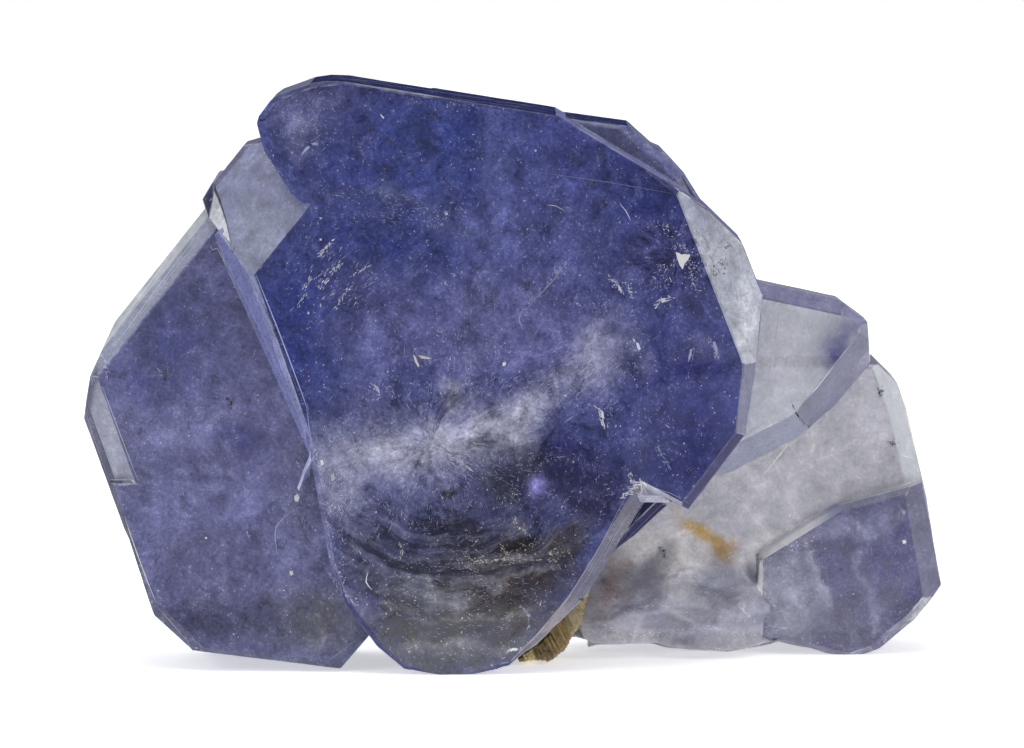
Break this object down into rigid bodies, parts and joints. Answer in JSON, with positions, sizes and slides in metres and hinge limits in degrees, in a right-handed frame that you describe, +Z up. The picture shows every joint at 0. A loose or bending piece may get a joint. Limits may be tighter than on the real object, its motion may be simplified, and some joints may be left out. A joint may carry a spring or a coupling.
{
  "type": "fluorapatite crystal cluster",
  "caption": "Intergrown tabular crystals of blue-violet to pale fluorapatite standing on edge, with a book of mica caught at the foot.",
  "frame": {"origin": "on the surface that the cluster stands on, under the middle of its outline", "axes": "+X to the right as seen from the front, along the cluster's longest side; +Z up; the large flat crystal faces look along -Y"},
  "size_m": [0.059, 0.018, 0.0402],
  "materials": {
    "fluorapatite": "clear to milky crystal, glassy growth faces with finely frosted bevels and rough broken faces",
    "mica": "olive-brown layered sheets with a pearly sheen"
  },
  "bodies": {
    "root": {"crystal_cluster": "fluorapatite", "mica_book": "mica"}
  },
  "joints": []
}
